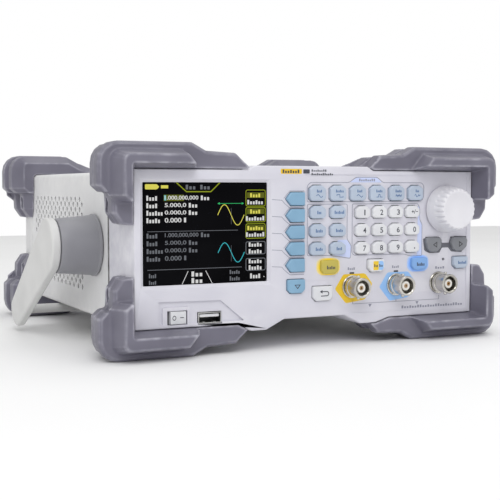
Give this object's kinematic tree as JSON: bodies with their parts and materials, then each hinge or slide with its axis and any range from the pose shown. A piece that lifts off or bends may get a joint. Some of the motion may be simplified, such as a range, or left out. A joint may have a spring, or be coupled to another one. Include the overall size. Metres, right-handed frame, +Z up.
{
  "type": "function generator",
  "caption": "Bench two-channel waveform generator: half-rack case with rubber corner bumpers, colour display, sprung keys, dial, coaxial outputs and a swinging carry handle.",
  "frame": {"origin": "centre of the footprint, on the surface that the bumpers stand on", "axes": "+Z up, +X to the right of the front panel, +Y from the front panel to the back"},
  "size_m": [0.2706, 0.2486, 0.112],
  "materials": {
    "panel_plastic": "fine matt moulded plastic",
    "case_paint": "fine textured off-white paint on sheet metal",
    "bumper_rubber": "satin moulded rubber, violet grey",
    "soft_key": "satin silicone rubber, mid blue",
    "pale_key": "satin silicone rubber, pale blue grey",
    "white_key": "satin plastic, white",
    "yellow_key": "translucent silicone lit from behind, yellow",
    "blue_key": "translucent silicone lit from behind, blue",
    "arrow_key": "satin rubber, dark grey",
    "dial_plastic": "satin moulded plastic, white",
    "screen_glass": "clear gloss window over a dark colour display",
    "nickel": "bright nickel plate",
    "circuit_board": "green solder mask with parts",
    "black_plastic": "matt black moulded plastic",
    "arm_plastic": "satin moulded plastic, warm white",
    "hub_plastic": "matt moulded plastic, mid grey"
  },
  "bodies": {
    "case": {"front_panel": "panel_plastic", "display": "screen_glass", "coaxial_sockets": "nickel", "front_board": "circuit_board", "cover": "case_paint", "rear_panel": "case_paint", "mains_inlet": "black_plastic", "main_board": "circuit_board", "power_supply": "circuit_board", "front_left_top_bumper": "bumper_rubber", "rear_left_top_bumper": "bumper_rubber", "front_left_bottom_bumper": "bumper_rubber", "rear_left_bottom_bumper": "bumper_rubber", "front_right_top_bumper": "bumper_rubber", "rear_right_top_bumper": "bumper_rubber", "front_right_bottom_bumper": "bumper_rubber", "rear_right_bottom_bumper": "bumper_rubber"},
    "handle": {"carry_handle": "arm_plastic", "left_hub": "hub_plastic", "right_hub": "hub_plastic"},
    "dial": {"dial_knob": "dial_plastic"},
    "rocker": {"power_rocker": "white_key"},
    "fan": {"fan_rotor": "black_plastic"},
    "soft_1": {"soft_key_1": "soft_key"},
    "soft_2": {"soft_key_2": "soft_key"},
    "soft_3": {"soft_key_3": "soft_key"},
    "soft_4": {"soft_key_4": "soft_key"},
    "soft_5": {"soft_key_5": "soft_key"},
    "page": {"page_key": "soft_key"},
    "sine": {"sine_key": "pale_key"},
    "square": {"square_key": "pale_key"},
    "ramp": {"ramp_key": "pale_key"},
    "pulse": {"pulse_key": "pale_key"},
    "noise": {"noise_key": "pale_key"},
    "arbitrary": {"arbitrary_key": "pale_key"},
    "modulate": {"modulate_key": "pale_key"},
    "utility": {"utility_key": "pale_key"},
    "sweep": {"sweep_key": "pale_key"},
    "store": {"store_key": "pale_key"},
    "burst": {"burst_key": "pale_key"},
    "help": {"help_key": "pale_key"},
    "digit_1": {"digit_1_key": "white_key"},
    "digit_2": {"digit_2_key": "white_key"},
    "digit_3": {"digit_3_key": "white_key"},
    "digit_sign": {"digit_sign_key": "white_key"},
    "digit_4": {"digit_4_key": "white_key"},
    "digit_5": {"digit_5_key": "white_key"},
    "digit_6": {"digit_6_key": "white_key"},
    "digit_0": {"digit_0_key": "white_key"},
    "digit_7": {"digit_7_key": "white_key"},
    "digit_8": {"digit_8_key": "white_key"},
    "digit_9": {"digit_9_key": "white_key"},
    "digit_point": {"digit_point_key": "white_key"},
    "back": {"back_key": "white_key"},
    "output_1": {"output_1_key": "yellow_key"},
    "channel": {"channel_key": "white_key"},
    "output_2": {"output_2_key": "blue_key"},
    "counter": {"counter_key": "pale_key"},
    "left_arrow": {"left_arrow_key": "arrow_key"},
    "right_arrow": {"right_arrow_key": "arrow_key"}
  },
  "joints": [
    {"name": "handle_swing", "type": "hinge", "parent": "case", "child": "handle", "pos_m": [0, -0.04665, 0.0563], "axis": [1, 0, 0], "range_deg": [-297, 0]},
    {"name": "dial_turn", "type": "hinge", "parent": "case", "child": "dial", "pos_m": [0.0867, -0.11565, 0.076], "axis": [0, 1, 0], "continuous": true},
    {"name": "rocker_tilt", "type": "hinge", "parent": "case", "child": "rocker", "pos_m": [-0.0828, -0.10705, 0.02095], "axis": [0, 0, 1], "range_deg": [-16, 0]},
    {"name": "fan_spin", "type": "hinge", "parent": "case", "child": "fan", "pos_m": [-0.052, 0.10335, 0.0563], "axis": [0, 1, 0], "continuous": true},
    {"name": "soft_1_press", "type": "slide", "parent": "case", "child": "soft_1", "axis": [0, 1, 0], "range_m": [0, 0.0012], "stiffness_N_per_m": 600},
    {"name": "soft_2_press", "type": "slide", "parent": "case", "child": "soft_2", "axis": [0, 1, 0], "range_m": [0, 0.0012], "stiffness_N_per_m": 600},
    {"name": "soft_3_press", "type": "slide", "parent": "case", "child": "soft_3", "axis": [0, 1, 0], "range_m": [0, 0.0012], "stiffness_N_per_m": 600},
    {"name": "soft_4_press", "type": "slide", "parent": "case", "child": "soft_4", "axis": [0, 1, 0], "range_m": [0, 0.0012], "stiffness_N_per_m": 600},
    {"name": "soft_5_press", "type": "slide", "parent": "case", "child": "soft_5", "axis": [0, 1, 0], "range_m": [0, 0.0012], "stiffness_N_per_m": 600},
    {"name": "page_press", "type": "slide", "parent": "case", "child": "page", "axis": [0, 1, 0], "range_m": [0, 0.0012], "stiffness_N_per_m": 600},
    {"name": "sine_press", "type": "slide", "parent": "case", "child": "sine", "axis": [0, 1, 0], "range_m": [0, 0.0012], "stiffness_N_per_m": 600},
    {"name": "square_press", "type": "slide", "parent": "case", "child": "square", "axis": [0, 1, 0], "range_m": [0, 0.0012], "stiffness_N_per_m": 600},
    {"name": "ramp_press", "type": "slide", "parent": "case", "child": "ramp", "axis": [0, 1, 0], "range_m": [0, 0.0012], "stiffness_N_per_m": 600},
    {"name": "pulse_press", "type": "slide", "parent": "case", "child": "pulse", "axis": [0, 1, 0], "range_m": [0, 0.0012], "stiffness_N_per_m": 600},
    {"name": "noise_press", "type": "slide", "parent": "case", "child": "noise", "axis": [0, 1, 0], "range_m": [0, 0.0012], "stiffness_N_per_m": 600},
    {"name": "arbitrary_press", "type": "slide", "parent": "case", "child": "arbitrary", "axis": [0, 1, 0], "range_m": [0, 0.0012], "stiffness_N_per_m": 600},
    {"name": "modulate_press", "type": "slide", "parent": "case", "child": "modulate", "axis": [0, 1, 0], "range_m": [0, 0.0012], "stiffness_N_per_m": 600},
    {"name": "utility_press", "type": "slide", "parent": "case", "child": "utility", "axis": [0, 1, 0], "range_m": [0, 0.0012], "stiffness_N_per_m": 600},
    {"name": "sweep_press", "type": "slide", "parent": "case", "child": "sweep", "axis": [0, 1, 0], "range_m": [0, 0.0012], "stiffness_N_per_m": 600},
    {"name": "store_press", "type": "slide", "parent": "case", "child": "store", "axis": [0, 1, 0], "range_m": [0, 0.0012], "stiffness_N_per_m": 600},
    {"name": "burst_press", "type": "slide", "parent": "case", "child": "burst", "axis": [0, 1, 0], "range_m": [0, 0.0012], "stiffness_N_per_m": 600},
    {"name": "help_press", "type": "slide", "parent": "case", "child": "help", "axis": [0, 1, 0], "range_m": [0, 0.0012], "stiffness_N_per_m": 600},
    {"name": "digit_1_press", "type": "slide", "parent": "case", "child": "digit_1", "axis": [0, 1, 0], "range_m": [0, 0.0012], "stiffness_N_per_m": 600},
    {"name": "digit_2_press", "type": "slide", "parent": "case", "child": "digit_2", "axis": [0, 1, 0], "range_m": [0, 0.0012], "stiffness_N_per_m": 600},
    {"name": "digit_3_press", "type": "slide", "parent": "case", "child": "digit_3", "axis": [0, 1, 0], "range_m": [0, 0.0012], "stiffness_N_per_m": 600},
    {"name": "digit_sign_press", "type": "slide", "parent": "case", "child": "digit_sign", "axis": [0, 1, 0], "range_m": [0, 0.0012], "stiffness_N_per_m": 600},
    {"name": "digit_4_press", "type": "slide", "parent": "case", "child": "digit_4", "axis": [0, 1, 0], "range_m": [0, 0.0012], "stiffness_N_per_m": 600},
    {"name": "digit_5_press", "type": "slide", "parent": "case", "child": "digit_5", "axis": [0, 1, 0], "range_m": [0, 0.0012], "stiffness_N_per_m": 600},
    {"name": "digit_6_press", "type": "slide", "parent": "case", "child": "digit_6", "axis": [0, 1, 0], "range_m": [0, 0.0012], "stiffness_N_per_m": 600},
    {"name": "digit_0_press", "type": "slide", "parent": "case", "child": "digit_0", "axis": [0, 1, 0], "range_m": [0, 0.0012], "stiffness_N_per_m": 600},
    {"name": "digit_7_press", "type": "slide", "parent": "case", "child": "digit_7", "axis": [0, 1, 0], "range_m": [0, 0.0012], "stiffness_N_per_m": 600},
    {"name": "digit_8_press", "type": "slide", "parent": "case", "child": "digit_8", "axis": [0, 1, 0], "range_m": [0, 0.0012], "stiffness_N_per_m": 600},
    {"name": "digit_9_press", "type": "slide", "parent": "case", "child": "digit_9", "axis": [0, 1, 0], "range_m": [0, 0.0012], "stiffness_N_per_m": 600},
    {"name": "digit_point_press", "type": "slide", "parent": "case", "child": "digit_point", "axis": [0, 1, 0], "range_m": [0, 0.0012], "stiffness_N_per_m": 600},
    {"name": "back_press", "type": "slide", "parent": "case", "child": "back", "axis": [0, 1, 0], "range_m": [0, 0.0012], "stiffness_N_per_m": 600},
    {"name": "output_1_press", "type": "slide", "parent": "case", "child": "output_1", "axis": [0, 1, 0], "range_m": [0, 0.0012], "stiffness_N_per_m": 600},
    {"name": "channel_press", "type": "slide", "parent": "case", "child": "channel", "axis": [0, 1, 0], "range_m": [0, 0.0012], "stiffness_N_per_m": 600},
    {"name": "output_2_press", "type": "slide", "parent": "case", "child": "output_2", "axis": [0, 1, 0], "range_m": [0, 0.0012], "stiffness_N_per_m": 600},
    {"name": "counter_press", "type": "slide", "parent": "case", "child": "counter", "axis": [0, 1, 0], "range_m": [0, 0.0012], "stiffness_N_per_m": 600},
    {"name": "left_arrow_press", "type": "slide", "parent": "case", "child": "left_arrow", "axis": [0, 1, 0], "range_m": [0, 0.0012], "stiffness_N_per_m": 600},
    {"name": "right_arrow_press", "type": "slide", "parent": "case", "child": "right_arrow", "axis": [0, 1, 0], "range_m": [0, 0.0012], "stiffness_N_per_m": 600}
  ]
}
